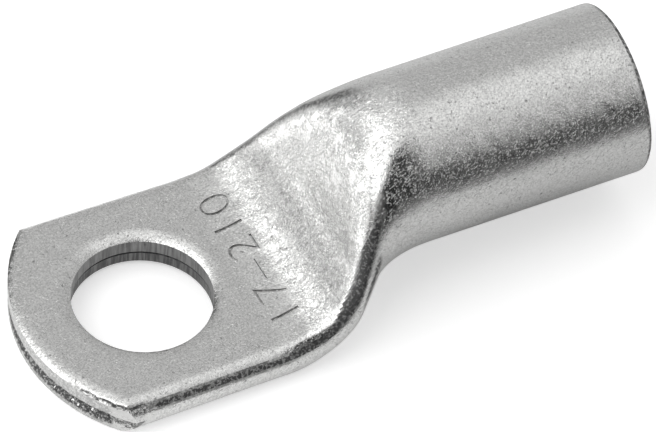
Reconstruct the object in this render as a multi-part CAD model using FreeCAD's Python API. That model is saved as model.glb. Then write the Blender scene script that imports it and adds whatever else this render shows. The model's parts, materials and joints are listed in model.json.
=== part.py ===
import FreeCAD, Part
import math
import os

# A copper cable lug: one length of round tube. One end stays round and takes the
# conductor. The other end is pressed flat into a double-walled palm, which is
# punched for the bolt and sheared to a round end. The whole lug is tinned.
#
# Millimetres. The origin is the centre of the bolt hole on the palm's underside,
# +Z is up along the bolt, and +X runs from the bolt to the barrel's mouth.

# Tube
tube_diameter = 21.0
wall = 2.3
seam_gap = 0.12

# Palm, seen from above
bolt_hole_diameter = 17.0
palm_width = 31.35
palm_flare_per_mm = 0.034
hole_edge_to_palm_end = 6.9
palm_corner_setback = 7.4
hole_edge_to_ramp = 2.5

# Ramp from the palm up to the barrel, seen from the side
ramp_angle = math.radians(68.0)
foot_radius = 12.0
crown_radius = 9.0
barrel_lift = 3.6
underside_angle = math.radians(23.0)
underside_radius = 6.0
foot_to_underside_step = 4.6

# Sections of the tube: the rim beside the pressed flat turns through one angle all
# along, and the barrel's top and bottom arcs turn through another. The press leaves the
# rim tightest at the corner of the foot. Its radius then grows evenly as the tube gets
# rounder. The exponent says how late on the ramp the crest starts to arch.
rim_turn = math.radians(36.0)
crest_turn = math.radians(16.0)
corner_rim_radius = 0.9
corner_run = 2.5
crest_delay = 6
least_inner_rim = 1.0

# Barrel
ramp_to_mouth = 50.4
mouth_outer_radius = 0.7
mouth_inner_chamfer = 0.4

# Sheared edges. The cut comes from above. It draws a rounded lip into the upper wall,
# leaves the lower wall a little wider, and breaks out at the underside. Round the
# hole the lower wall is cut almost whole. At the palm's end it is torn at the seam.
lip_width = 1.8
lip_depth = 0.5
lower_wall_setback = 0.1
hole_tear_width = 0.5
hole_tear_depth = 0.25
hole_breakout = 0.65
end_tear_width = 0.7
end_tear_depth = 1.2
end_breakout = 0.2

# Sizes that follow
outer_radius = tube_diameter / 2
bore_radius = outer_radius - wall
palm_thickness = 2 * wall + seam_gap
barrel_top = barrel_lift + tube_diameter
barrel_axis = barrel_lift + outer_radius
bolt_hole_radius = bolt_hole_diameter / 2
hole_to_palm_end = bolt_hole_radius + hole_edge_to_palm_end
ramp_start = bolt_hole_radius + hole_edge_to_ramp
hole_to_foot = ramp_start + foot_radius * math.tan(ramp_angle / 2)
hole_to_underside_step = hole_to_foot - foot_to_underside_step
hole_to_crown = hole_to_foot + (barrel_top - palm_thickness) / math.tan(ramp_angle)
ramp_end = hole_to_crown + crown_radius * math.tan(ramp_angle / 2)
hole_to_mouth = ramp_start + ramp_to_mouth

# How finely the ramp is followed: sections at equal turns round its foot and its
# crown, and at equal steps on the straight slope between
foot_steps = 10
slope_steps = 4
crown_steps = 9

# Room that the cutting shapes have past what they cut, and the short straight
# stretches that the lofted neck has at both ends. The flaring folds of the palm meet
# the neck within a third of a micron, which the join bridges.
margin = 3.0
neck_lead = 0.5
join_tolerance = 1e-3
flat_limit = 1e-6
neck_start = ramp_start - neck_lead
neck_end = ramp_end + neck_lead
blank_end = -hole_to_palm_end - margin


def step_height(x, low, high, foot, angle, hollow, crown):
    """Height at x of a side line: level, hollow arc, straight slope, crown arc, level."""
    top = foot + (high - low) / math.tan(angle)
    hollow_start = foot - hollow * math.tan(angle / 2)
    hollow_end = hollow_start + hollow * math.sin(angle)
    crown_end = top + crown * math.tan(angle / 2)
    crown_start = crown_end - crown * math.sin(angle)
    if x <= hollow_start:
        return low
    if x < hollow_end:
        return low + hollow - math.sqrt(hollow ** 2 - (x - hollow_start) ** 2)
    if x <= crown_start:
        return low + (x - foot) * math.tan(angle)
    if x < crown_end:
        return high - crown + math.sqrt(crown ** 2 - (crown_end - x) ** 2)
    return high


def upper_line(x, inset=0.0):
    """Height of the lug's top at x, or of the surface that lies an inset inside it."""
    return step_height(x, palm_thickness - inset, barrel_top - inset,
                       hole_to_foot + inset * math.tan(ramp_angle / 2), ramp_angle,
                       foot_radius + inset, crown_radius - inset)


def lower_line(x, inset=0.0):
    """Height of the lug's underside at x, or of the surface an inset inside it."""
    level = step_height(x, inset, barrel_lift + inset,
                        hole_to_underside_step - inset * math.tan(underside_angle / 2),
                        underside_angle, underside_radius - inset, underside_radius + inset)
    return min(level, upper_line(x, inset) - palm_thickness + 2 * inset)


def flatness(x):
    """How far the tube is pressed at x: 0 where it is round, 1 in the palm."""
    height = upper_line(x) - lower_line(x)
    return (tube_diameter - height) / (tube_diameter - palm_thickness)


def half_width(x, inset=0.0):
    """Half the width at x, where the palm also flares a little towards its end."""
    spread = (palm_width - tube_diameter) / 2 * flatness(x)
    flare = palm_flare_per_mm / 2 * max(ramp_start - x, 0)
    return outer_radius + spread + flare - inset


def section_wire(x, inset=0.0):
    """The closed section at x, a chain of eight arcs that run smoothly into each other.

    A flat or shallow crest lies on top, then comes a rim, a side, and the same below.
    In the palm the crest is straight and the rim and side are one half-round fold. In
    the barrel all of them lie on one circle. The crest's half-width and the side's
    radius follow from the section's height and width.
    """
    half_height = (upper_line(x, inset) - lower_line(x, inset)) / 2
    middle = upper_line(x, inset) - half_height
    side = half_width(x, inset)
    fold_radius = palm_thickness / 2
    corner_share = min(max(x - ramp_start, 0) / corner_run, 1)
    pressed_rim = fold_radius + (corner_rim_radius - fold_radius) * corner_share
    roundness = max(1 - flatness(x), 0)
    rim_radius = pressed_rim + (outer_radius - pressed_rim) * roundness - inset
    if inset > 0:
        rim_radius = max(rim_radius, min(half_height, least_inner_rim))
    turn = crest_turn * roundness ** crest_delay
    across = side - rim_radius * (math.sin(rim_turn) - math.sin(turn))
    upwards = half_height - rim_radius * (math.cos(turn) - math.cos(rim_turn))
    side_share = 1 - math.sin(rim_turn)
    slope = math.tan(turn / 2)
    crest = across * math.cos(rim_turn) - upwards * side_share
    crest /= math.cos(rim_turn) - slope * side_share
    crest_edge = half_height - crest * slope
    rim_centre = (crest - rim_radius * math.sin(turn), crest_edge - rim_radius * math.cos(turn))
    rim_points = [(rim_centre[0] + rim_radius * math.sin(angle),
                   rim_centre[1] + rim_radius * math.cos(angle))
                  for angle in (turn, (turn + rim_turn) / 2, rim_turn)]

    def place(y, z):
        return FreeCAD.Vector(x, y, middle + z)

    def rim(side_sign, up_sign):
        return [place(side_sign * y, up_sign * z) for y, z in rim_points]

    def arc(start, through, end):
        if (through - (start + end) * 0.5).Length < flat_limit:
            return Part.makeLine(start, end)
        return Part.Arc(start, through, end).toShape()

    upper_right, lower_right, lower_left, upper_left = rim(1, 1), rim(1, -1), rim(-1, -1), rim(-1, 1)
    return Part.Wire([
        arc(upper_left[0], place(0, half_height), upper_right[0]),
        arc(*upper_right),
        arc(upper_right[2], place(side, 0), lower_right[2]),
        arc(*reversed(lower_right)),
        arc(lower_right[0], place(0, -half_height), lower_left[0]),
        arc(*lower_left),
        arc(lower_left[2], place(-side, 0), upper_left[2]),
        arc(*reversed(upper_left)),
    ])


def seam_wire(x):
    """The gap between the two pressed walls at x, as a thin rectangle."""
    middle = (upper_line(x, wall) + lower_line(x, wall)) / 2
    bottom, top = middle - seam_gap / 2, middle + seam_gap / 2
    side = half_width(x, wall) - 2 * seam_gap
    corners = [(-side, bottom), (side, bottom), (side, top), (-side, top), (-side, bottom)]
    return Part.makePolygon([FreeCAD.Vector(x, y, z) for y, z in corners])


def neck_stations():
    """Places along X of the neck's sections, from the palm to the barrel."""
    foot = [ramp_start + foot_radius * math.sin(ramp_angle * step / foot_steps)
            for step in range(foot_steps + 1)]
    crown = [ramp_end - crown_radius * math.sin(ramp_angle * step / crown_steps)
             for step in range(crown_steps, -1, -1)]
    slope = [foot[-1] + (crown[0] - foot[-1]) * step / slope_steps for step in range(1, slope_steps)]
    return [neck_start] + foot + slope + crown + [neck_end]


def lip_arc(radius, direction, top, width, depth):
    """The rounded edge that a punch draws in, from the cut wall up on to the flat."""
    curve_radius = (width ** 2 + depth ** 2) / (2 * depth)
    half_turn = math.asin(width / curve_radius) / 2
    middle_out = width - curve_radius * math.sin(half_turn)
    middle_down = curve_radius * (1 - math.cos(half_turn))
    wall_end = FreeCAD.Vector(radius, 0, top - depth)
    middle = FreeCAD.Vector(radius + direction * middle_out, 0, top - middle_down)
    level_end = FreeCAD.Vector(radius + direction * width, 0, top)
    return Part.Arc(wall_end, middle, level_end).toShape(), wall_end, level_end


def shear_profile(radius, direction, far, tear_width, tear_depth, breakout):
    """What a cut takes away, as a face in the XZ plane about the Z axis.

    direction is +1 where the metal lies outside the radius, as round a hole, and -1
    where it lies inside, as at the palm's end. far is the radius of the face's far side.
    The tear is at the lower wall's top edge, and the breakout at its bottom edge.
    """
    lower = radius + direction * lower_wall_setback
    torn = lower + direction * tear_width
    broken = lower + direction * breakout
    lip, wall_end, level_end = lip_arc(radius, direction, palm_thickness, lip_width, lip_depth)
    outline = [
        level_end,
        FreeCAD.Vector(level_end.x, 0, palm_thickness + margin),
        FreeCAD.Vector(far, 0, palm_thickness + margin),
        FreeCAD.Vector(far, 0, -margin),
        FreeCAD.Vector(broken, 0, -margin),
        FreeCAD.Vector(broken, 0, 0),
        FreeCAD.Vector(lower, 0, breakout),
        FreeCAD.Vector(lower, 0, wall - tear_depth),
        FreeCAD.Vector(torn, 0, wall),
        FreeCAD.Vector(torn, 0, wall + seam_gap),
        FreeCAD.Vector(radius, 0, wall + seam_gap),
        wall_end,
    ]
    edges = [Part.makeLine(a, b) for a, b in zip(outline, outline[1:])]
    return Part.Face(Part.Wire(edges + [lip]))


def cut_tools():
    """The punch for the bolt hole, and the shear that rounds the palm's end."""
    up = FreeCAD.Vector(0, 0, 1)
    punch = shear_profile(bolt_hole_radius, 1, 0, hole_tear_width, hole_tear_depth, hole_breakout)
    punch = punch.revolve(FreeCAD.Vector(0, 0, 0), up, 360)
    corner_reach = half_width(-hole_to_palm_end)
    end_radius = (palm_corner_setback ** 2 + corner_reach ** 2) / (2 * palm_corner_setback)
    end_centre = FreeCAD.Vector(end_radius - hole_to_palm_end, 0, 0)
    half_sweep = math.degrees(math.asin(corner_reach / end_radius)) + 10
    shear = shear_profile(end_radius, -1, end_radius + 4 * margin,
                          end_tear_width, end_tear_depth, end_breakout)
    shear.rotate(FreeCAD.Vector(0, 0, 0), up, 180 - half_sweep)
    shear.translate(end_centre)
    return [punch, shear.revolve(end_centre, up, 2 * half_sweep)]


def palm_blank():
    """The pressed tube before it is punched: a flat slab between two half-round folds."""
    fold_radius = palm_thickness / 2
    ends = (blank_end, neck_start)
    up = FreeCAD.Vector(0, 0, palm_thickness)
    corners = [FreeCAD.Vector(x, side * half_width(x, fold_radius), 0)
               for side, xs in ((1, ends), (-1, ends[::-1])) for x in xs]
    blank = Part.Face(Part.makePolygon(corners + corners[:1])).extrude(up)
    for side in (1, -1):
        start, end = [FreeCAD.Vector(x, side * half_width(x, fold_radius), fold_radius) for x in ends]
        along = (end - start).normalize()
        length = (end - start).Length + 2 * fold_radius
        blank = blank.fuse(Part.makeCylinder(fold_radius, length, start - along * fold_radius, along))
    trim = Part.makeBox(neck_start - blank_end, 2 * palm_width, 2 * palm_thickness,
                        FreeCAD.Vector(blank_end, -palm_width, -fold_radius))
    return blank.common(trim).removeSplitter()


def make_palm():
    """The pressed end: a flat folded tube with its seam, sheared round and punched."""
    seam = Part.makeLoft([seam_wire(blank_end - margin), seam_wire(neck_start)], True, True)
    return palm_blank().cut([seam] + cut_tools())


def make_neck():
    """The ramp: the tube as it goes from flat to round, while its seam opens to a cavity."""
    stations = neck_stations()
    cavity_start = ramp_start
    while upper_line(cavity_start, wall) - lower_line(cavity_start, wall) < 5 * seam_gap:
        cavity_start += seam_gap
    seam_end = cavity_start + 2 * seam_gap
    seam_places = [x for x in stations if x < cavity_start] + [seam_end]
    cavity_places = [cavity_start] + [x for x in stations if x > seam_end]
    skin = Part.makeLoft([section_wire(x) for x in stations], True, True)
    seam = Part.makeLoft([seam_wire(x) for x in seam_places], True, True)
    cavity = Part.makeLoft([section_wire(x, wall) for x in cavity_places], True, True)
    return skin.cut([seam, cavity])


def make_barrel():
    """The round end: a tube whose mouth has a rounded outer edge and a broken inner one."""
    axis = FreeCAD.Vector(0, 0, barrel_axis)

    def at(x, radius):
        return FreeCAD.Vector(x, 0, barrel_axis + radius)

    diagonal = 1 - math.sqrt(0.5)
    outer_middle = at(hole_to_mouth - mouth_outer_radius * diagonal,
                      outer_radius - mouth_outer_radius * diagonal)
    outer_start = at(hole_to_mouth - mouth_outer_radius, outer_radius)
    face_outer = at(hole_to_mouth, outer_radius - mouth_outer_radius)
    face_inner = at(hole_to_mouth, bore_radius + mouth_inner_chamfer)
    inner_end = at(hole_to_mouth - mouth_inner_chamfer, bore_radius)
    edges = [
        Part.makeLine(at(neck_end, outer_radius), outer_start),
        Part.Arc(outer_start, outer_middle, face_outer).toShape(),
        Part.makeLine(face_outer, face_inner),
        Part.makeLine(face_inner, inner_end),
        Part.makeLine(inner_end, at(neck_end, bore_radius)),
        Part.makeLine(at(neck_end, bore_radius), at(neck_end, outer_radius)),
    ]
    return Part.Face(Part.Wire(edges)).revolve(axis, FreeCAD.Vector(1, 0, 0), 360)


lug = make_palm().fuse([make_neck(), make_barrel()], join_tolerance).removeSplitter()
if lug.ShapeType != "Solid" and len(lug.Solids) == 1:
    lug = lug.Solids[0]

os.makedirs("parts", exist_ok=True)
lug.exportStep("parts/cable_lug.step")
box = lug.optimalBoundingBox(False)
print(f"cable_lug: {len(lug.Solids)} solid, valid {lug.isValid()}, volume {lug.Volume:.1f} mm3")
print(f"box {box.XLength:.2f} x {box.YLength:.2f} x {box.ZLength:.2f} mm, {len(lug.Faces)} faces")
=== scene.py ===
# %% [markdown]
# # A copper cable lug, tinned
# The real lug is one length of copper tube. A press squeezes one end flat, a punch makes
# the bolt hole, a shear rounds the end, and the whole piece is dipped or plated in tin.
# This script goes the same way: it starts from a tube, presses it, cuts it, stamps it,
# and then gives it the scuffed tin finish. The sizes are in millimetres up to the point
# where a mesh is made, and Blender's metres after that.

# %% Load the frame
import json
import math

import bmesh
import bpy
from mathutils import Matrix, Vector, noise


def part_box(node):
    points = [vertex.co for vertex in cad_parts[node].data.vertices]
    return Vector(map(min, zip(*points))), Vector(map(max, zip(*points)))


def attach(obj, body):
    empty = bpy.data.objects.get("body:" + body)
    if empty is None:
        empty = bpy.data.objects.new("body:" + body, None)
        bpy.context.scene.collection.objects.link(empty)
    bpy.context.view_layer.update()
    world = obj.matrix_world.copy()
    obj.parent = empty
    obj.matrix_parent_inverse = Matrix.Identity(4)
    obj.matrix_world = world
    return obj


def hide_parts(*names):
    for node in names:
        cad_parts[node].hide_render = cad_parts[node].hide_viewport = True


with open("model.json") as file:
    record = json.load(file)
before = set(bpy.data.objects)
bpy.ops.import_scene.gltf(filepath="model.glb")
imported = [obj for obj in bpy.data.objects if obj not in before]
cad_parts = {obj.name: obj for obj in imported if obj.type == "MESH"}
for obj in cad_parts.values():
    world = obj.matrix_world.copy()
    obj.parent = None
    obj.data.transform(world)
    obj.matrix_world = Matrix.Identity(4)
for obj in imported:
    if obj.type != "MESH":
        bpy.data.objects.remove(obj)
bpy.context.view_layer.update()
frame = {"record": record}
mounts = {mount["name"]: mount for mount in frame["record"]["mounts"]}
mm = 0.001
low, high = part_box("cable_lug")
print("the frame's lug measures", [round(side / mm, 2) for side in high - low], "mm")

# %% [markdown]
# ## Sizes
# The outer sizes and the two bores come from the frame, so the dressed lug can't drift
# from it. The shape of the ramp is set by a few angles and radii, as on a drawing: a
# hollow arc at its foot, a straight slope, and a crown arc that runs out on the barrel.

# %% Sizes from the frame
hole_radius = mounts["bolt_hole"]["dims"]["r_mm"]
bore_radius = mounts["conductor_barrel"]["dims"]["r_mm"]
palm_end = low.x / mm
mouth = high.x / mm
barrel_top = high.z / mm
barrel_axis = mounts["conductor_barrel"]["pos_m"][2] / mm
outer_radius = barrel_top - barrel_axis
barrel_lift = barrel_axis - outer_radius
wall = outer_radius - bore_radius
seam_gap = 0.12
palm_thickness = 2 * wall + seam_gap
fold_radius = palm_thickness / 2
print(f"tube {2 * outer_radius:.1f} mm, wall {wall:.2f} mm, palm {palm_thickness:.2f} mm thick")

# %% Sizes of the palm and the ramp
palm_width = 31.35
palm_flare = 0.034  # how much wider the palm gets with each millimetre towards its end
corner_setback = 7.4  # from the middle of the palm's round end back to its corners
ramp_start = 11.0
ramp_angle = math.radians(68.0)
foot_radius = 12.0
crown_radius = 9.0
underside_angle = math.radians(23.0)
underside_radius = 6.0
foot_to_underside_step = 4.6

foot = ramp_start + foot_radius * math.tan(ramp_angle / 2)
crown = foot + (barrel_top - palm_thickness) / math.tan(ramp_angle)
ramp_end = crown + crown_radius * math.tan(ramp_angle / 2)
print(f"the ramp goes from x = {ramp_start} to {ramp_end:.1f} mm")

# %% [markdown]
# ## How the tube is pressed
# Seen from the side, the top and the underside of the lug are two lines that leave the
# barrel and meet the palm. Seen along its axis, the round tube turns into a flat fold.
# The metal isn't stretched round the tube, so each point keeps its share of the way round.
# That makes it possible to bend a plain cylinder into the lug by moving each of its
# points, with no modelling of the difficult part by eye.

# %% The side view
def step_height(x, start, end, foot_x, angle, hollow, rise):
    """Height at x of a side line: level, hollow arc, straight slope, crown arc, level."""
    hollow_start = foot_x - hollow * math.tan(angle / 2)
    crown_end = foot_x + (end - start) / math.tan(angle) + rise * math.tan(angle / 2)
    if x <= hollow_start:
        return start
    if x < hollow_start + hollow * math.sin(angle):
        return start + hollow - math.sqrt(hollow ** 2 - (x - hollow_start) ** 2)
    if x <= crown_end - rise * math.sin(angle):
        return start + (x - foot_x) * math.tan(angle)
    if x < crown_end:
        return end - rise + math.sqrt(rise ** 2 - (crown_end - x) ** 2)
    return end


def top_line(x, inset=0.0):
    return step_height(x, palm_thickness - inset, barrel_top - inset,
                       foot + inset * math.tan(ramp_angle / 2), ramp_angle,
                       foot_radius + inset, crown_radius - inset)


def bottom_line(x, inset=0.0):
    level = step_height(x, inset, barrel_lift + inset,
                        foot - foot_to_underside_step - inset * math.tan(underside_angle / 2),
                        underside_angle, underside_radius - inset, underside_radius + inset)
    return min(level, top_line(x, inset) - palm_thickness + 2 * inset)


mid_ramp = (ramp_start + ramp_end) / 2
print(f"halfway up the ramp the tube is {top_line(mid_ramp) - bottom_line(mid_ramp):.1f} mm high")

# %% [markdown]
# ## Its end view
# Cut across, the pressed tube has a wide crest that is all but straight, a tight rim where
# the press's edge bore down, and a rounder flank. Such a shape could be lofted between
# sections that are drawn by hand. Here each quarter of a section is three arcs that meet
# without a kink, so a few sizes set it anywhere, and the barrel's circle is one case of it.

# %% The end view
rim_turn = math.radians(36.0)
crest_turn = math.radians(16.0)
corner_rim_radius = 0.9
corner_run = 2.5
crest_delay = 6  # the crest stays straight until the tube is nearly round
smallest_inner_rim = 1.0


def half_width(x, inset=0.0):
    """Half the lug's width at x, and how flat the tube is there: 0 on the barrel, 1 on the palm."""
    height = top_line(x) - bottom_line(x)
    flatness = (2 * outer_radius - height) / (2 * outer_radius - palm_thickness)
    spread = (palm_width / 2 - outer_radius) * flatness
    return outer_radius + spread + palm_flare / 2 * max(ramp_start - x, 0) - inset, flatness


def pressed_section(x, inset=0.0):
    """What a quarter of the section at x is made of: its middle, and three arcs."""
    half_height = (top_line(x, inset) - bottom_line(x, inset)) / 2
    middle = top_line(x, inset) - half_height
    side, flatness = half_width(x, inset)
    corner_share = min(max(x - ramp_start, 0) / corner_run, 1)
    pressed_rim = fold_radius + (corner_rim_radius - fold_radius) * corner_share
    roundness = max(1 - flatness, 0)
    rim = pressed_rim + (outer_radius - pressed_rim) * roundness - inset
    if inset:
        rim = max(rim, min(half_height, smallest_inner_rim))
    turn = crest_turn * roundness ** crest_delay
    across = side - rim * (math.sin(rim_turn) - math.sin(turn))
    upwards = half_height - rim * (math.cos(turn) - math.cos(rim_turn))
    side_share = 1 - math.sin(rim_turn)
    slope = math.tan(turn / 2)
    meeting = math.cos(rim_turn) - slope * side_share
    crest = (across * math.cos(rim_turn) - upwards * side_share) / meeting
    flank = (upwards - slope * across) / meeting
    return middle, half_height, side, crest, turn, rim, flank


print("the palm's section:", [round(size, 2) for size in pressed_section(0)])


# %% A point on the section
def section_point(section, share):
    """The point that lies that share of the way from the section's top to its side."""
    middle, half_height, side, crest, turn, rim, flank = section
    curved = turn > 1e-6
    crest_length = crest * turn / math.sin(turn) if curved else crest
    rim_length = rim * (rim_turn - turn)
    travel = share * (crest_length + rim_length + flank * (math.pi / 2 - rim_turn))
    if travel <= crest_length:
        angle = turn * travel / crest_length
        y = crest * math.sin(angle) / math.sin(turn) if curved else travel
        return y, half_height - y * math.tan(angle / 2)
    travel -= crest_length
    if travel <= rim_length:
        angle = turn + travel / rim
        edge = half_height - crest * math.tan(turn / 2)
        return (crest + rim * (math.sin(angle) - math.sin(turn)),
                edge - rim * (math.cos(turn) - math.cos(angle)))
    angle = rim_turn + (travel - rim_length) / flank
    return side - flank * (1 - math.sin(angle)), flank * math.cos(angle)


side_point = section_point(pressed_section(0), 0.9)
print("nine tenths of the way round, the palm's section is at", [round(size, 2) for size in side_point])

# %% [markdown]
# ## The tube
# A cylinder is added open at both ends, and its long edges are subdivided into rings.
# Then each ring goes to its place along the lug, closer together on the ramp where the
# shape turns, and each point goes to its place on the pressed section. The inside is a
# second tube, pressed by the same rules at the wall's distance.

# %% Helpers for working by hand
def deselect_all():
    bpy.ops.object.select_all(action="DESELECT")


def edit(piece, mode="VERT"):
    """Opens a piece in edit mode with nothing selected."""
    deselect_all()
    piece.select_set(True)
    bpy.context.view_layer.objects.active = piece
    bpy.ops.object.mode_set(mode="EDIT")
    bpy.ops.mesh.select_mode(type=mode)
    bpy.ops.mesh.select_all(action="DESELECT")
    return bmesh.from_edit_mesh(piece.data)


def done(piece):
    bmesh.update_edit_mesh(piece.data)
    bpy.ops.object.mode_set(mode="OBJECT")


def size_of(piece):
    bpy.context.view_layer.update()
    sides = piece.dimensions / mm
    faces = len(piece.data.polygons)
    return f"{piece.name}: {sides.x:.1f} x {sides.y:.1f} x {sides.z:.1f} mm, {faces} faces"


# %% Rings along the lug
sheared_off = 3.0
blank_end = palm_end - sheared_off
steps_measured = 2000
effort_off_ramp = 0.22
skin_cuts = (11, 11)
inner_cuts = (7, 5)


def rings_after(cuts):
    """How many stretches an edge has once it has been subdivided by each of the cuts in turn."""
    return math.prod(cut + 1 for cut in cuts)


def ring_places(count):
    """Places along X, as evenly spaced on the lug's top line as the shape needs."""
    fine = [blank_end + (mouth - blank_end) * step / steps_measured for step in range(steps_measured + 1)]
    travel = [0.0]
    for a, b in zip(fine, fine[1:]):
        effort = 1.0 if ramp_start - 1 < (a + b) / 2 < ramp_end + 1 else effort_off_ramp
        travel.append(travel[-1] + effort * math.hypot(b - a, top_line(b) - top_line(a)))
    places, index = [], 0
    for ring in range(count + 1):
        goal = travel[-1] * ring / count
        while index < len(fine) - 2 and travel[index + 1] < goal:
            index += 1
        step = (goal - travel[index]) / (travel[index + 1] - travel[index])
        places.append(fine[index] + (fine[index + 1] - fine[index]) * step)
    return places


places = ring_places(rings_after(skin_cuts))
closest = min(b - a for a, b in zip(places, places[1:]))
print(len(places), "rings, the closest", round(closest, 3), "mm apart")

# %% A round tube
around = 216


def round_tube(name, ring_cuts):
    """A plain open tube of one unit's radius and length along X, cut into rings."""
    deselect_all()
    bpy.ops.mesh.primitive_cylinder_add(vertices=around, radius=1, depth=1, end_fill_type="NOTHING",
                                        location=(0.5, 0, 0), rotation=(0, math.pi / 2, 0))
    tube = bpy.context.object
    tube.name = tube.data.name = name
    bpy.ops.object.transform_apply(location=True, rotation=True, scale=True)
    for cuts in ring_cuts:
        mesh = edit(tube, "EDGE")
        for edge in mesh.edges:
            edge.select = abs(edge.verts[0].co.x - edge.verts[1].co.x) > 1e-4
        bpy.ops.mesh.subdivide(number_cuts=cuts)
        done(tube)
    return tube


skin = round_tube("lug", skin_cuts)
inner = round_tube("inner", inner_cuts)
print(len(skin.data.vertices), "points on the skin,", len(inner.data.vertices), "on the inside")


# %% The press
def press(tube, ring_xs, inset):
    """Moves each point of the round tube to its share of the pressed section."""
    rings = len(ring_xs) - 1
    sections = [pressed_section(x, inset) for x in ring_xs]
    for point in tube.data.vertices:
        ring = round(point.co.x * rings)
        angle = math.atan2(abs(point.co.y), abs(point.co.z))
        y, z = section_point(sections[ring], angle / (math.pi / 2))
        middle = sections[ring][0]
        point.co = (ring_xs[ring] * mm, math.copysign(y, point.co.y) * mm,
                    (middle + math.copysign(z, point.co.z)) * mm)
    tube.data.update()


press(skin, places, 0.0)
print(size_of(skin))
press(inner, ring_places(rings_after(inner_cuts)), wall)
edit(inner, "FACE")
bpy.ops.mesh.select_all(action="SELECT")
bpy.ops.mesh.flip_normals()
done(inner)
print(size_of(inner))

# %% [markdown]
# ## Closing the wall
# The tube's outside and its inside are joined into one object and bridged at both ends.
# A Solidify modifier could make the wall as well, but it would fold over itself at the
# rims of the ramp, which are tighter than the wall is thick.

# %% Join and bridge
deselect_all()
inner.select_set(True)
skin.select_set(True)
bpy.context.view_layer.objects.active = skin
bpy.ops.object.join()
mesh = edit(skin, "EDGE")
for edge in mesh.edges:
    edge.select = edge.is_boundary and edge.verts[0].co.x > 0
bpy.ops.mesh.bridge_edge_loops()
bpy.ops.mesh.select_all(action="DESELECT")
for edge in mesh.edges:
    edge.select = edge.is_boundary
bpy.ops.mesh.bridge_edge_loops()
bpy.ops.mesh.select_all(action="SELECT")
bpy.ops.mesh.normals_make_consistent(inside=False)
done(skin)
print(size_of(skin))

# %% [markdown]
# ## The mouth
# The saw left square edges at the mouth, and tumbling rounded them. The outer edge gets a
# bevel of several segments and the inner one a small one. The two rings of edges are
# picked by their place and their distance from the barrel's axis.

# %% Round the mouth
outer_round = 0.7
inner_break = 0.4
mouth_slack = 0.01
ring_slack = 0.02


def bevel_mouth(radius, width, segments):
    """Bevels the ring of edges that has that radius, and says how many edges it was."""
    mesh = edit(skin, "EDGE")
    for edge in mesh.edges:
        from_axis = [Vector((0, v.co.y, v.co.z - barrel_axis * mm)).length for v in edge.verts]
        edge.select = (all(v.co.x > (mouth - mouth_slack) * mm for v in edge.verts)
                       and all(abs(distance - radius * mm) < ring_slack * mm for distance in from_axis))
    picked = sum(edge.select for edge in mesh.edges)
    bpy.ops.mesh.bevel(offset=width * mm, segments=segments, affect="EDGES")
    done(skin)
    return picked


print(bevel_mouth(outer_radius, outer_round, 6), "edges rounded outside")
print(bevel_mouth(bore_radius, inner_break, 2), "edges broken inside")

# %% [markdown]
# ## Punching and shearing
# A cut from above draws the tin down into a soft lip, shears the upper wall and tears
# the lower one. Bevels and dents could imitate that on a plain hole, but a cutter that
# has the lip, the tear and the breakout in its own profile makes all of them at once.

# %% The lip and the cut
lip_width = 1.8
lip_depth = 0.5
lip_edge = palm_thickness - lip_depth + 0.02
lower_setback = 0.1
margin = 3.0


def lip_points(radius, direction, steps=10):
    """From the level face down into the cut: an arc that leaves the face without an edge."""
    curve = (lip_width ** 2 + lip_depth ** 2) / (2 * lip_depth)
    points = []
    for step in range(steps + 1):
        out = lip_width * (1 - step / steps)
        drop = curve - math.sqrt(curve ** 2 - (lip_width - out) ** 2)
        points.append((radius + direction * out, palm_thickness - drop))
    return points


def cut_profile(radius, direction, far, tear_width, tear_depth, breakout):
    """A cutter's outline as (radius, height). The lug's metal is outside it for 1, inside for -1."""
    lower = radius + direction * lower_setback
    points = [(far, palm_thickness + margin), (radius + direction * lip_width, palm_thickness + margin)]
    points += lip_points(radius, direction)
    points += [(radius, wall + seam_gap), (lower + direction * tear_width, wall + seam_gap / 2),
               (lower, wall - tear_depth), (lower, breakout), (lower + direction * breakout, 0),
               (lower + direction * breakout, -margin), (far, -margin)]
    return points


punch_profile = cut_profile(hole_radius, 1, far=0, tear_width=0.5, tear_depth=0.25, breakout=0.65)
print(len(punch_profile), "points in the punch's profile")

# %% The palm's round end
corner_reach = half_width(palm_end)[0]
end_radius = (corner_setback ** 2 + corner_reach ** 2) / (2 * corner_setback)
end_centre = palm_end + end_radius
scrap_reach = 12
longest_on_wall = 0.2


def refined(points, longest, lowest=-0.1, highest=5.0):
    """The same profile with more points where it makes the wall, so that the wall can be roughened."""
    closer = []
    for a, b in zip(points, points[1:] + points[:1]):
        closer.append(a)
        on_wall = lowest <= min(a[1], b[1]) and max(a[1], b[1]) <= highest
        pieces = math.ceil(math.dist(a, b) / longest) if on_wall else 1
        closer += [(a[0] + (b[0] - a[0]) * step / pieces, a[1] + (b[1] - a[1]) * step / pieces)
                   for step in range(1, pieces)]
    return closer


shear_profile = cut_profile(end_radius, -1, end_radius + scrap_reach, tear_width=0.7, tear_depth=1.2,
                            breakout=0.2)
shear_profile = refined(shear_profile, longest_on_wall)
print(f"the palm's end has a radius of {end_radius:.1f} mm, the shear's profile {len(shear_profile)} points")

# %% [markdown]
# ## The punch and the shear
# Each profile is laid out as a chain of points and spun round an upright axis: the punch
# right round, and the shear through the sweep of the palm's end. A Boolean modifier then
# takes the cutter away from the tube. The exact solver keeps such fine steps clean.

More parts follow.
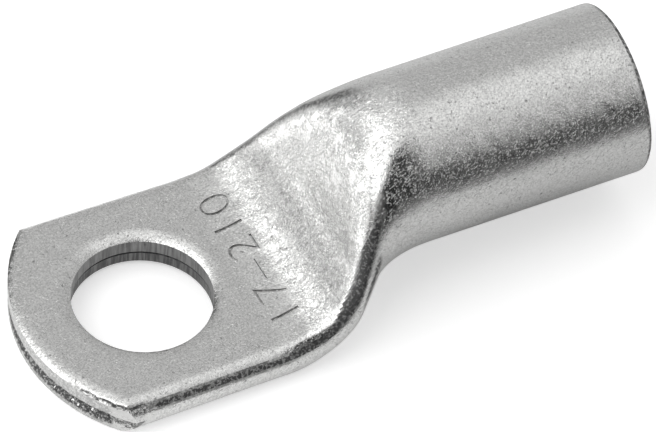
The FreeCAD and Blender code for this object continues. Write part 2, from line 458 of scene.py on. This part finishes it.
# %% Spin and cut
def spun_cutter(name, profile, centre_x, start, sweep, steps):
    """Draws the profile in the XZ plane and spins it about the upright axis at centre_x."""
    deselect_all()
    bpy.ops.mesh.primitive_circle_add(vertices=len(profile), radius=1, fill_type="NOTHING")
    cutter = bpy.context.object
    cutter.name = cutter.data.name = name
    turn = Matrix.Rotation(start, 4, "Z")
    for point, (radius, height) in zip(cutter.data.vertices, profile):
        point.co = turn @ Vector((radius * mm, 0, height * mm)) + Vector((centre_x * mm, 0, 0))
    edit(cutter)
    bpy.ops.mesh.select_all(action="SELECT")
    if sweep < 2 * math.pi:
        bpy.ops.mesh.edge_face_add()
    bpy.ops.mesh.spin(steps=steps, angle=sweep, center=(centre_x * mm, 0, 0), axis=(0, 0, 1))
    bpy.ops.mesh.select_all(action="SELECT")
    bpy.ops.mesh.remove_doubles(threshold=1e-6)
    bpy.ops.mesh.delete_loose(use_verts=True, use_edges=True, use_faces=False)
    bpy.ops.mesh.select_all(action="SELECT")
    bpy.ops.mesh.normals_make_consistent(inside=False)
    done(cutter)
    return cutter


def cut_away(piece, cutter, operation="DIFFERENCE", tidy_overlaps=False):
    boolean = piece.modifiers.new("cut", "BOOLEAN")
    boolean.operation = operation
    boolean.solver = "EXACT"
    boolean.use_self = tidy_overlaps
    boolean.object = cutter
    deselect_all()
    bpy.context.view_layer.objects.active = piece
    bpy.ops.object.modifier_apply(modifier=boolean.name)
    bpy.data.objects.remove(cutter)


# %% Punch the hole and shear the end
past_corner = math.radians(10)
punch = spun_cutter("punch", punch_profile, 0, 0, 2 * math.pi, steps=180)
print(size_of(punch))
half_sweep = math.asin(corner_reach / end_radius) + past_corner
shear = spun_cutter("shear", shear_profile, end_centre, math.pi + half_sweep, 2 * half_sweep, steps=260)
print(size_of(shear))
cut_away(skin, punch)
cut_away(skin, shear)
skin.name = skin.data.name = "tinned_lug"
print(size_of(skin))

# %% [markdown]
# ## The stamped figures
# Lugs carry their bolt's size and their tube's, struck into the palm with steel type. The
# figures here are this lug's own: its hole in millimetres, and its tube in tenths. They
# could be a dark texture, but real ones have walls that catch the light. So Blender's plain
# font is thinned to the width of a stamp's line, made a mesh, bent to the hollow at the
# foot of the ramp and cut out of the palm.

# %% Make the figures
deselect_all()
bpy.ops.object.text_add(location=(0, 0, 0))
figures = bpy.context.object
figures.name = "figures"
figures.data.body = f"{2 * hole_radius:.0f}–{20 * outer_radius:.0f}"
figures.data.size = 1.0
figures.data.offset = -0.021  # thins every stroke
figures.data.resolution_u = 5
figures.data.extrude = 0.2
figures.data.space_character = 1.06
bpy.ops.object.convert(target="MESH")
figures = bpy.context.object
print("struck into the palm:", figures.data.name, size_of(figures))

# %% Slice them, so that they can bend
slices = 9
low_corner = [min(v.co[axis] for v in figures.data.vertices) for axis in range(3)]
high_corner = [max(v.co[axis] for v in figures.data.vertices) for axis in range(3)]
edit(figures)
bpy.ops.mesh.select_all(action="SELECT")
bpy.ops.mesh.remove_doubles(threshold=1e-5)
for step in range(1, slices):
    bpy.ops.mesh.select_all(action="SELECT")
    level = low_corner[1] + (high_corner[1] - low_corner[1]) * step / slices
    bpy.ops.mesh.bisect(plane_co=(0, level, 0), plane_no=(0, 1, 0))
bpy.ops.mesh.select_all(action="SELECT")
bpy.ops.mesh.normals_make_consistent(inside=False)
done(figures)
print(size_of(figures), "in", slices, "slices")

# %% Bend them to the palm and strike them
figure_height = 3.6
figure_depth = 0.2
above_palm = 0.5
row_start = -9.9
row_end = 10.3
row_base = 15.55
row_slant = math.radians(-1.5)
block = 60 * mm

for point in figures.data.vertices:
    along = (point.co.x - low_corner[0]) / (high_corner[0] - low_corner[0])
    upwards = (point.co.y - low_corner[1]) / (high_corner[1] - low_corner[1])
    y = row_start + (row_end - row_start) * along
    x = row_base - figure_height * upwards + y * math.tan(row_slant)
    lift = above_palm if point.co.z > 0 else -figure_depth
    point.co = (x * mm, y * mm, (top_line(x) + lift) * mm)
figures.data.update()
# What the figures share with a block round them is the figures again, with no overlaps left.
deselect_all()
bpy.ops.mesh.primitive_cube_add(size=block, location=(0, 0, 0))
cut_away(figures, bpy.context.object, "INTERSECT", tidy_overlaps=True)
cut_away(skin, figures)
print(size_of(skin))

# %% [markdown]
# ## The torn edge
# A shear only cuts the first half of the metal. Below that it tears, and the end of a real
# lug is rough and dark there, with a crack under the soft upper lip. A bump would leave
# the outline smooth, so the points of the wall themselves are pushed inwards by a noise,
# most of all in the torn band.

# %% Helpers for soft bands
torn_low, torn_high = 0.75, wall + seam_gap
crack_height = lip_edge
crack_jags = 0.12
jags_per_mm = 1.7


def rising(value, start, end):
    """0 at start, 1 at end, and a smooth curve from one to the other."""
    share = min(max((value - start) / (end - start), 0.0), 1.0)
    return share * share * (3 - 2 * share)


def falling(value, start, end):
    return 1 - rising(value, start, end)


def bell(value, middle, reach):
    """1 at the middle, and smoothly down to 0 at that reach on both sides."""
    return falling(abs(value - middle), 0, reach)


def crack_at(place, reach):
    """The jagged crack under the soft lip, on the nearer part of the end."""
    line = crack_height + crack_jags * noise.noise(Vector((place.y * jags_per_mm, 3.0, 0)))
    return bell(place.z, line, reach) * falling(place.y, -13.0, -6.0)


def between_folds(place):
    """1 where the end shows two layers, 0 in the folds that join them at the sides."""
    fold = half_width(place.x)[0] - wall
    return falling(abs(place.y), fold - 0.5, fold + 0.3)


def torn_at(place, below, above):
    """1 in the torn band, which starts softly between two heights and ends between two others."""
    return rising(place.z, *below) * falling(place.z, *above) * between_folds(place)


print(f"torn from {torn_low} to {torn_high:.2f} mm up, cracked at {crack_height:.2f} mm")

# %% Roughen the sheared end
torn_depth = 0.42
crack_depth = 0.3
fine_depth = 0.05
soft_reach = 1.4
lip_kept = 0.3
wall_radius = end_radius - lower_setback
torn_below = (torn_low - 0.3, torn_low + 0.3)
torn_above = (torn_high - 0.1, torn_high + 0.15)
moved = 0
for point in skin.data.vertices:
    place = point.co / mm
    out = Vector((place.x - end_centre, place.y, 0))
    if out.length < wall_radius - soft_reach or place.x > 0 or place.z > palm_thickness - lip_kept:
        continue
    across = out.normalized()
    spot = across * wall_radius + Vector((0, 0, place.z))
    rough = 0.5 + 0.5 * noise.noise(spot * 2.6) + 0.35 * noise.noise(spot * 6.5)
    crack = crack_at(place, reach=0.24)
    depth = rough * torn_depth * torn_at(place, torn_below, torn_above)
    depth += rough * fine_depth * rising(place.z, 0.1, 0.5)
    depth += crack_depth * crack * (0.6 + 0.6 * rough)
    depth *= rising(out.length, wall_radius - soft_reach, wall_radius)
    point.co -= across * depth * mm
    moved += depth > 0.02
skin.data.update()
print(moved, "points of the sheared end pushed in")

# %% [markdown]
# ## Smooth and sharp
# Smooth shading hides the facets of the pressed skin and of the bevels. Given by angle, it leaves the edges
# that were really cut sharp. The piece is then tied to the frame: it rides on the root body and takes the
# place of the plain lug, which is hidden.

# %% Shade it
sharp_from = math.radians(32)
deselect_all()
skin.select_set(True)
bpy.context.view_layer.objects.active = skin
bpy.ops.object.shade_smooth_by_angle(angle=sharp_from)
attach(skin, "root")
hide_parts("cable_lug")
print(sum(edge.use_edge_sharp for edge in skin.data.edges), "edges stay sharp")

# %% [markdown]
# ## Where the finish differs
# One tin covers everything, but it doesn't look the same everywhere: the wall of the punched hole is smeared
# and dull and is painted darker as shade as well, the torn band holds dirt and painted shade, the struck
# figures, the seam in the hole and two bands beside the ramp get painted shade, the mouth's rim is darker,
# and the press's tool marks the ramp. Each face is told apart here by its place and its direction, and the
# result is kept on the mesh as a colour attribute that the material reads: red for the tooled ramp, green
# for cut walls, blue for dirt and painted shade, and alpha for a painted highlight on the two rims of the
# ramp. Painting by hand would do too, but rules like these stay right when a size changes.

# %% What the press left on the ramp
def tooled_at(place, normal):
    """The wide facet of the ramp, marked by the press, with two calmer stripes across it."""
    if not (ramp_start < place.x < ramp_end + 2 and normal.z > 0.1):
        return 0.0
    climbed = place.x - ramp_start
    calm_stripe = 0.9 * bell(climbed, middle=8.8, reach=1.3)
    faint_stripe = 0.35 * bell(climbed, middle=11.2, reach=2.0)
    busy_crown = 0.9 * rising(climbed, start=12, end=14.5)
    tooled = rising(climbed, start=4.4, end=5.6) * falling(place.x, ramp_end - 3, ramp_end + 2)
    tooled *= (1 - calm_stripe) * (1 - faint_stripe) * (1 + busy_crown)
    return tooled * falling(abs(normal.y), 0.15, 0.4)


def rim_painted_highlight(place, normal):
    """Painted highlight on the two rims beside the facet, from a third of the way up."""
    first = ramp_start + 8
    if not (first < place.x < ramp_end and normal.z > 0.2):
        return 0.0
    crest = pressed_section(place.x)[3]
    brightened = rising(abs(place.y), crest - 1.6, crest - 0.6)
    brightened *= rising(place.x, first, first + 2) * falling(place.x, ramp_end - 4, ramp_end)
    return brightened * falling(abs(normal.y), 0.1, 0.25)


halfway_mark = tooled_at(Vector((mid_ramp, 0, 0)), Vector((-0.7, 0, 0.7)))
print("halfway up, the facet is marked", round(halfway_mark, 2))


# %% Painted shade beside the ramp, and the end's dirt and shade
def crease_painted_shade(place, normal):
    """Painted shade: a dark band in the near crease. It lies where the metal has turned far enough to the
    side.
    """
    if not (place.x < ramp_start + 16 and place.y < 0 and place.z > 1.5):
        return 0.0
    climbed = place.x - ramp_start
    sideways = -normal.y
    turned = 0.12 + 0.5 * falling(climbed, 6.5, 9.5) + 0.4 * rising(climbed, 11.0, 14.0)
    turned -= 0.07 * falling(climbed, -3, 1)
    strength = (0.65 + 0.35 * rising(climbed, -4, 5)) * falling(climbed, 12.5, 16)
    band = rising(sideways, turned, turned + 0.15) * falling(sideways, 0.82, 0.95)
    return 1.5 * strength * band * rising(normal.z, -0.1, 0.1)


def crown_painted_shade(place, normal):
    """Painted shade: a fainter dark band on the far side of the crown."""
    climbed = place.x - ramp_start
    if not (11 < climbed < 20 and place.y > 0 and normal.z > 0):
        return 0.0
    band = rising(normal.y, 0.16, 0.3) * falling(normal.y, 0.46, 0.6)
    return 0.65 * band * rising(climbed, 11, 14) * falling(climbed, 17, 20)


def end_dirt_and_shade(place):
    """Dirt and painted shade on the sheared end: most in the torn band and the crack, and least in the
    folds. The crack's darkness is painted shade, and the torn band's is dirt and painted shade.
    """
    torn = torn_at(place, (torn_low - 0.3, torn_low + 0.1), (torn_high, torn_high + 0.2))
    return max(0.15 + 0.25 * between_folds(place), 1.1 * torn, 1.2 * crack_at(place, reach=0.25))


print("the middle of the torn band is dirty by", round(end_dirt_and_shade(Vector((palm_end, 0, wall - 0.5))), 2))

# %% All the marks of a face
hole_reach = hole_radius + 0.8
seam_low, seam_high = wall - 0.5, wall + seam_gap + 0.1
upper_wall_cut, lower_wall_cut, end_cut = 1.0, 1.12, 0.2
# How dark the painted shade in the hole's seam and in the figures' grooves is, and how much darker the
# mouth's rim is.
seam_painted_shade, mouth_darkening, figure_painted_shade = 2.5, 0.8, 0.55


def finish_at(place, normal):
    """How tooled and cut a place is, how much dirt and painted shade it has, and how much painted highlight.
    A later rule takes over from an earlier one.
    """
    cut = 0.0
    dirt_and_shade = crease_painted_shade(place, normal) + crown_painted_shade(place, normal)
    # The wall of the hole: duller sheared metal, and painted darker as shade as well.
    in_hole = math.hypot(place.x, place.y) < hole_reach
    if in_hole and abs(normal.z) < 0.75 and place.z < lip_edge:
        cut = upper_wall_cut if place.z > seam_low else lower_wall_cut
    # Painted shade in the seam's gap inside the hole.
    if in_hole and seam_low < place.z < seam_high:
        dirt_and_shade = seam_painted_shade
    from_end = math.hypot(place.x - end_centre, place.y)
    outward = (normal.x * (place.x - end_centre) + normal.y * place.y) / from_end
    # Painted shade in the crack under the lip, near the end.
    if place.x < 0 and from_end > end_radius - 1.9 and place.z < palm_thickness - 0.1:
        dirt_and_shade = 1.2 * crack_at(place, reach=0.22)
    # The sheared end: dirt all over, dirt and painted shade in the torn band, and painted shade in the
    # crack.
    if place.x < 0 and from_end > end_radius - 1.3 and outward > 0.6 and place.z < palm_thickness - lip_kept:
        cut = end_cut
        dirt_and_shade = end_dirt_and_shade(place)
    # A darker rim round the mouth.
    if place.x > mouth - 0.6 and math.hypot(place.y, place.z - barrel_axis) > outer_radius - 0.6:
        dirt_and_shade = mouth_darkening
    # Painted shade in the grooves of the struck figures.
    in_row = row_base - 5 < place.x < row_base + 1 and abs(place.y) < 12
    if in_row and 0.03 < top_line(place.x) - place.z < 0.4:
        dirt_and_shade = figure_painted_shade
    return tooled_at(place, normal), cut, dirt_and_shade, rim_painted_highlight(place, normal)


print("the wall of the hole:", finish_at(Vector((-hole_radius, 0, 1)), Vector((1, 0, 0))))

# %% Mark the faces
to_corner = 0.3  # the place that counts lies this far from the face's middle to its corner
marks = skin.data.color_attributes.new("finish", "FLOAT_COLOR", "CORNER")
counts = [0, 0, 0, 0]
for face in skin.data.polygons:
    for corner in face.loop_indices:
        point = skin.data.vertices[skin.data.loops[corner].vertex_index]
        place = (point.co * to_corner + face.center * (1 - to_corner)) / mm
        colour = finish_at(place, face.normal)
        marks.data[corner].color = colour
    for index, value in enumerate(colour):
        counts[index] += value > 0.5
# Blue counts dirt and painted shade, and alpha the painted highlight on the rims.
print("faces marked as tooled, cut, dirty and rubbed:", counts)

# %% [markdown]
# ## The tin
# Tin that is plated in a turning drum full of lugs comes out matt silver and
# lightly knocked about: a grain like fine sandpaper, short scratches in every direction,
# tiny curls, pits and broad soft dents. A metal shader shows such a surface by what it
# reflects, so nearly all of this is height for one Bump node, in real millimetres.
# The helpers put each new node in the tree that its first linked value comes from, so
# the paper and the room further on are built with them as well.

# %% Helpers for nodes
def give(socket, value):
    """A socket gets a link from another node's socket, or a plain value."""
    if isinstance(value, bpy.types.NodeSocket):
        socket.id_data.links.new(value, socket)
    else:
        socket.default_value = value


def arithmetic(operation, *values):
    tree = next(value.id_data for value in values if isinstance(value, bpy.types.NodeSocket))
    node = tree.nodes.new("ShaderNodeMath")
    node.operation = operation
    for socket, value in zip(node.inputs, values):
        give(socket, value)
    return node.outputs[0]


def total(*parts):
    result = parts[0]
    for part in parts[1:]:
        result = arithmetic("ADD", result, part)
    return result


def between(value, start, end, low_value=0.0, high_value=1.0):
    """low_value at start, high_value at end, and a smooth curve from one to the other."""
    node = value.id_data.nodes.new("ShaderNodeMapRange")
    node.interpolation_type = "SMOOTHSTEP"
    for name, given in (("Value", value), ("From Min", start), ("From Max", end),
                        ("To Min", low_value), ("To Max", high_value)):
        give(node.inputs[name], given)
    return node.outputs["Result"]


def blend(factor, first, second):
    """A colour between two others."""
    node = factor.id_data.nodes.new("ShaderNodeMix")
    node.data_type = "RGBA"
    for name, given in (("Factor", factor), ("A", first), ("B", second)):
        give(node.inputs[name], given)
    return node.outputs["Result"]


# %% Start the tin
tin = bpy.data.materials.new("tin")
tin.use_nodes = True
nodes = tin.node_tree.nodes
shader = nodes["Principled BSDF"]
skin.data.materials.clear()
skin.data.materials.append(tin)
position = nodes.new("ShaderNodeTexCoord").outputs["Object"]
marked = nodes.new("ShaderNodeAttribute")
marked.attribute_name = "finish"
apart = nodes.new("ShaderNodeSeparateColor")
give(apart.inputs["Color"], marked.outputs["Color"])
# Blue holds dirt and painted shade, and alpha the painted highlight on the ramp's rims.
tooled, cut, dirt_and_shade = (apart.outputs[name] for name in ("Red", "Green", "Blue"))
print("the tin reads the marks in", marked.attribute_name)


# %% Clouds to build on
def in_mm(turn=(0, 0, 0), stretch=(1, 1, 1)):
    """Object coordinates in millimetres, turned and then stretched for a streaky pattern."""
    node = nodes.new("ShaderNodeMapping")
    node.vector_type = "TEXTURE"
    node.inputs["Rotation"].default_value = [math.radians(angle) for angle in turn]
    node.inputs["Scale"].default_value = [mm * side for side in stretch]
    give(node.inputs["Vector"], position)
    return node.outputs["Vector"]


def cloudy(vector, per_mm, detail=2.0, roughness=0.5, distortion=0.0):
    node = nodes.new("ShaderNodeTexNoise")
    for name, given in (("Vector", vector), ("Scale", per_mm), ("Detail", detail),
                        ("Roughness", roughness), ("Distortion", distortion)):
        give(node.inputs[name], given)
    return node.outputs["Fac"]


everywhere = in_mm()
torn_noise = cloudy(everywhere, per_mm=3.0, roughness=0.6, distortion=0.6)
print(len(nodes), "nodes so far")

# %% [markdown]
# ## Grain, curls and dents
# The plating grows as a fine grain over softer swirls. Where the press marked the ramp,
# the swirls are higher and thin curls stand on them. A curl is drawn where a much
# distorted noise passes through its middle value, which gives a thin winding line, and
# that costs much less than modelling hundreds of them.

# %% Grain, curls and dents
swirl_height, tooled_swirl_height = 0.008, 0.01
grain_height = 0.012
curl_height = 0.06
dent_height = 0.1

swirl_heights = arithmetic("MULTIPLY_ADD", tooled, tooled_swirl_height, swirl_height)
swirls = arithmetic("MULTIPLY", cloudy(everywhere, per_mm=3.2, detail=1.0, distortion=0.4), swirl_heights)
grain = arithmetic("MULTIPLY_ADD", cloudy(everywhere, per_mm=7.5, detail=0.0), grain_height, swirls)
dents = arithmetic("MULTIPLY", cloudy(everywhere, per_mm=0.35, distortion=0.3), dent_height)


def curls_of(per_mm, width):
    """Thin winding lines of that width in the noise's value."""
    noise_value = cloudy(everywhere, per_mm, detail=1.0, distortion=1.4)
    from_middle = arithmetic("ABSOLUTE", arithmetic("SUBTRACT", noise_value, 0.5))
    return between(from_middle, width * 0.35, width, 1.0, 0.0)


curl = arithmetic("MAXIMUM", curls_of(0.8, 0.03), curls_of(1.2, 0.035))
curl = arithmetic("MAXIMUM", curls_of(1.8, 0.04), curl)
in_patches = between(cloudy(everywhere, per_mm=0.6, detail=1.0, distortion=0.5), 0.36, 0.5)
curl = arithmetic("MULTIPLY", curl, arithmetic("MULTIPLY", tooled, in_patches))
curls = arithmetic("MULTIPLY", curl, curl_height)
print(len(nodes), "nodes with the grain")

# %% [markdown]
# ## Scratches, pits and crumbs
# Lugs knock against each other in the drum, which leaves short scratches in every direction and a few pits.
# Where the press and the punch left dirt, and where shade is painted, a coarser noise breaks it into crumbs.
# All the heights are added up for the Bump node, whose distance is set to a millimetre, so that each depth
# is written as it would be measured.

# %% Scratches, pits and crumbs
pit_depth = 0.04
crumb_height = 0.09


def scratches(turn, per_mm, threshold, depth):
    """Short dashes: a noise drawn out along one direction, of which only the peaks count."""
    drawn_out = in_mm(turn, stretch=(4.0, 0.45, 0.8))
    streaks = cloudy(drawn_out, per_mm, detail=1.0, distortion=0.15)
    return between(streaks, threshold, threshold + 0.06, 0.0, -depth)


marks_of_use = total(scratches((20, 15, 50), 2.4, 0.65, 0.022), scratches((-50, -20, -35), 2.8, 0.65, 0.022),
                     scratches((70, 30, 100), 2.2, 0.66, 0.025), scratches((5, -40, 10), 2.6, 0.66, 0.022))
pit = between(cloudy(everywhere, per_mm=1.9, detail=1.0), 0.70, 0.76)
pits = arithmetic("MULTIPLY", pit, -pit_depth)
crumbs = arithmetic("MULTIPLY", arithmetic("MULTIPLY", torn_noise, dirt_and_shade), crumb_height)
bump = nodes.new("ShaderNodeBump")
bump.inputs["Distance"].default_value = mm
bump.inputs["Strength"].default_value = 1.0
give(bump.inputs["Height"], total(grain, curls, dents, marks_of_use, pits, crumbs))
give(shader.inputs["Normal"], bump.outputs["Normal"])
print(len(nodes), "nodes with the scratches")

# %% [markdown]
# ## Colour and gloss
# Tin is a pale grey metal with hardly any colour. Pits and fine specks make it a little darker. Dirt,
# painted shade and the smeared wall of the hole, which is partly painted shade too, make it much darker and
# duller. Curls are nearly white, and so is the painted highlight on the rims of the ramp. The wall of the
# hole also gets fine upright streaks, from a noise that is drawn out along Z, the way the punch went.

# %% How dull
# Dirt and painted shade, broken up by a noise.
soiled_and_shaded = arithmetic("MULTIPLY", dirt_and_shade, between(torn_noise, 0.45, 0.6, 1.25, 0.5))
# The cut walls are rougher, and on the hole's wall the darker colour is also painted shade.
drawn_down = cloudy(in_mm(stretch=(0.3, 0.3, 5.0)), per_mm=1.0, roughness=0.6)
smeared_and_shaded = arithmetic("MULTIPLY", cut, between(drawn_down, 0.35, 0.65, 0.93, 0.76))
dull_and_shaded = arithmetic("MINIMUM", arithmetic("MAXIMUM", smeared_and_shaded, soiled_and_shaded), 1.0)
patchy = cloudy(everywhere, per_mm=0.5, detail=3.0, roughness=0.6, distortion=0.5)
matt = between(patchy, 0.35, 0.65, 0.19, 0.27)
give(shader.inputs["Roughness"], arithmetic("MULTIPLY_ADD", dull_and_shaded, 0.25, matt))
print(len(nodes), "nodes with the gloss")

# %% What colour
clean_tin = (0.74, 0.74, 0.73, 1)
# Dark for dirt, pits and painted shade.
dirty_and_shaded_tin = (0.10, 0.10, 0.10, 1)
# Nearly white: the curls, and the painted highlight on the ramp's rims.
bright_tin_and_highlight = (0.97, 0.97, 0.96, 1)
speck = between(cloudy(everywhere, per_mm=4.2, roughness=0.7, distortion=0.2), 0.36, 0.64, 0.0, 0.26)
darker = arithmetic("MAXIMUM", dull_and_shaded, arithmetic("MULTIPLY_ADD", pit, 0.4, speck))
# Brightened by the tooling on the facet, and by the painted highlight on the ramp's rims.
brightened = arithmetic("MAXIMUM", arithmetic("MULTIPLY", tooled, 0.3), marked.outputs["Alpha"])
brighter = arithmetic("MAXIMUM", brightened, curl)
give(shader.inputs["Metallic"], 1.0)
give(shader.inputs["Base Color"], blend(brighter, blend(darker, clean_tin, dirty_and_shaded_tin), bright_tin_and_highlight))
print(len(nodes), "nodes in the tin")

# %% [markdown]
# ## Studio
# The camera looks down at the lug from the palm's side through a long lens, turned a
# little on its own axis. It is placed from a scale in pixels to the millimetre and one
# point of the lug whose place in the picture is known.

# %% Camera
image_width = 656
image_height = 432
azimuth = math.radians(-28.31)
elevation = math.radians(49.57)
roll = math.radians(3.79)
pixels_per_mm = 8.463
aim = Vector((22, 0, 8))
aim_pixel = (312.3, 219.6)
distance = 1650.0

back = Vector((math.sin(azimuth) * math.cos(elevation), -math.cos(azimuth) * math.cos(elevation),
               math.sin(elevation)))
right = Vector((math.cos(azimuth), math.sin(azimuth), 0))
up = back.cross(right)
image_right = math.cos(roll) * right + math.sin(roll) * up
image_up = math.cos(roll) * up - math.sin(roll) * right
centre = aim + image_right * (image_width / 2 - aim_pixel[0]) / pixels_per_mm
centre += image_up * (aim_pixel[1] - image_height / 2) / pixels_per_mm
lens = bpy.data.cameras.new("camera")
lens.sensor_width = 36
lens.lens = pixels_per_mm * distance * lens.sensor_width / image_width
lens.clip_start = 0.1
lens.clip_end = 50
camera = bpy.data.objects.new("camera", lens)
bpy.context.scene.collection.objects.link(camera)
camera_place = Matrix((image_right, image_up, back)).transposed().to_4x4()
camera_place.translation = (centre + back * distance) * mm
camera.matrix_world = camera_place
bpy.context.scene.camera = camera
print(f"lens {lens.lens:.0f} mm, {distance * mm:.2f} m away")

# %% [markdown]
# ## The paper under it
# The floor is a sheet of white paper, and it keeps the lug's shadow. Metal mirrors it as well, so for
# reflected rays alone the sheet is told apart by its place: a painted glow stands for the big window's light
# on it, and a painted dark reflection stands for black cloth behind the ramp and far in front. Photographers
# lay cards and cloth round shiny ware to get such reflections.

# %% Helpers for places and bearings
def sides_of(vector):
    """The X, Y and Z of a place or a direction, by name."""
    node = vector.id_data.nodes.new("ShaderNodeSeparateXYZ")
    give(node.inputs[0], vector)
    return node.outputs


def compass_point(bearing):
    return math.cos(math.radians(bearing)), math.sin(math.radians(bearing)), 0


def towards(vector, bearing):
    """How far a place or a direction goes towards a bearing, in degrees from +X round to +Y."""
    node = vector.id_data.nodes.new("ShaderNodeVectorMath")
    node.operation = "DOT_PRODUCT"
    give(node.inputs[0], vector)
    give(node.inputs[1], compass_point(bearing))
    return node.outputs["Value"]


# %% The sheet
deselect_all()
bpy.ops.mesh.primitive_plane_add(size=4, location=(0, 0, 0))
floor = bpy.context.object
floor.name = "floor"
paper = bpy.data.materials.new("paper")
paper.use_nodes = True
floor.data.materials.append(paper)
paper_nodes = paper.node_tree.nodes
paper_shader = paper_nodes["Principled BSDF"]
give(paper_shader.inputs["Roughness"], 0.9)
give(paper_shader.inputs["Specular IOR Level"], 0.0)
rays = paper_nodes.new("ShaderNodeLightPath").outputs
mirrored = arithmetic("MAXIMUM", rays["Is Glossy Ray"], rays["Is Transmission Ray"])
print("the sheet is", [round(side, 1) for side in floor.dimensions.xy], "m")

# %% Painted dark reflections on the sheet
window_bearing = 160
on_paper = paper_nodes.new("ShaderNodeTexCoord").outputs["Object"]
to_window = towards(on_paper, window_bearing)
off_window = between(to_window, 31 * mm, 23 * mm)
behind = between(sides_of(on_paper)["Y"], 34 * mm, 46 * mm)
near_ramp = between(sides_of(on_paper)["X"], 22 * mm, 14 * mm)
far_front = between(sides_of(on_paper)["Y"], -55 * mm, -85 * mm, high_value=0.9)
behind_ramp = arithmetic("MULTIPLY", arithmetic("MULTIPLY", behind, off_window), near_ramp)
painted_dark_reflection = arithmetic("MULTIPLY", arithmetic("MAXIMUM", behind_ramp, far_front), mirrored)
# Seen only in reflections: a painted dark reflection, standing for black cloth.
give(paper_shader.inputs["Base Color"], blend(painted_dark_reflection, (0.8, 0.8, 0.8, 1), (0.08, 0.08, 0.08, 1)))
print(len(paper_nodes), "nodes with the cloth")

# %% Window light on the sheet
shaded_bearing = 35
white_background = 0.5
near_window = between(to_window, -70 * mm, 90 * mm, 0.02, 0.9)
not_shaded = between(towards(on_paper, shaded_bearing), 33 * mm, 22 * mm)
# A painted glow of window light on the paper, seen only in reflections.
lit = arithmetic("MULTIPLY", arithmetic("MULTIPLY", mirrored, near_window), not_shaded)
glow = arithmetic("ADD", arithmetic("MULTIPLY", rays["Is Camera Ray"], white_background), lit)
give(paper_shader.inputs["Emission Color"], (1, 1, 1, 1))
give(paper_shader.inputs["Emission Strength"], glow)
print(len(paper_nodes), "nodes in the paper")

# %% [markdown]
# ## The lamps
# Shiny metal has no look of its own: every tone on it is a mirror image of the room. The
# room is therefore drawn straight into the world, as soft panels at compass bearings and
# heights. Some are lamps and take the place of the dim wall behind them, and some are
# black flags that hold the light back and give the rims and the barrel their dark bands.

# %% The room
world = bpy.data.worlds.new("studio")
bpy.context.scene.world = world
world.use_nodes = True
sky = world.node_tree.nodes
looking = sky.new("ShaderNodeTexCoord").outputs["Generated"]
looking_up = sides_of(looking)["Z"]
level = sky.new("ShaderNodeVectorMath")
level.operation = "MULTIPLY"
give(level.inputs[0], looking)
give(level.inputs[1], (1, 1, 0))
compass = sky.new("ShaderNodeVectorMath")
compass.operation = "NORMALIZE"
give(compass.inputs[0], level.outputs["Vector"])


def sine(degrees):
    return math.sin(math.radians(degrees))


def cosine(degrees):
    return math.cos(math.radians(degrees))


light = between(looking_up, sine(54), sine(68), 0.6, 1.1)
print(len(sky), "nodes for the walls and the ceiling")


# %% A panel
def panel(bearing, half_width, low_edge, high_edge, soft, strength):
    """A soft panel round that bearing, half_width to each side, between two heights, in degrees."""
    across = between(towards(compass.outputs["Vector"], bearing),
                     cosine(half_width + soft), cosine(half_width - soft))
    above = between(looking_up, sine(low_edge - soft), sine(low_edge + soft))
    under = between(looking_up, sine(high_edge - soft), sine(high_edge + soft), 1.0, 0.0)
    upright = arithmetic("MULTIPLY", under, strength)
    return arithmetic("MULTIPLY", arithmetic("MULTIPLY", across, above), upright)


# %% Hang the lamps and the flags
# Of each: bearing, half width, low edge, high edge and softness in degrees, and strength.
lamps = {
    "strip beside the window": (134, 6, -5, 75, 3, 1.4),
    "far part of the window": (145, 21, 34, 75, 3, 2.1),
    "low window": (166, 11, -25, 37, 3, 2.2),
    "near part of the window": (188, 34, 27, 75, 3, 2.2),
    "skylight": (110, 60, 56, 90, 4, 1.5),
    "card on the right": (310, 20, 34, 62, 5, 0.85),
}
flags = {
    "near side": (262, 26, -7, 74, 3, 0.97),
    "low by the mouth": (293, 9, -8, 24, 4, 0.8),
    "low on the camera's side": (226, 40, -20, 20, 4, 0.97),
    "camera's side": (236, 30, -20, 32, 4, 0.9),
    "low by the window": (146, 6, -4, 29, 3, 0.6),
    "low on the far side": (110, 14, -8, 28, 4, 1.0),
}
for sizes in lamps.values():
    light = arithmetic("MAXIMUM", light, panel(*sizes))
for sizes in flags.values():
    light = arithmetic("MULTIPLY", light, arithmetic("SUBTRACT", 1.0, panel(*sizes)))
give(sky["Background"].inputs["Strength"], light)
give(sky["Background"].inputs["Color"], (1, 1, 1, 1))
bpy.context.scene.view_settings.view_transform = "Standard"
print("lamps:", ", ".join(lamps))
print("flags:", ", ".join(flags))
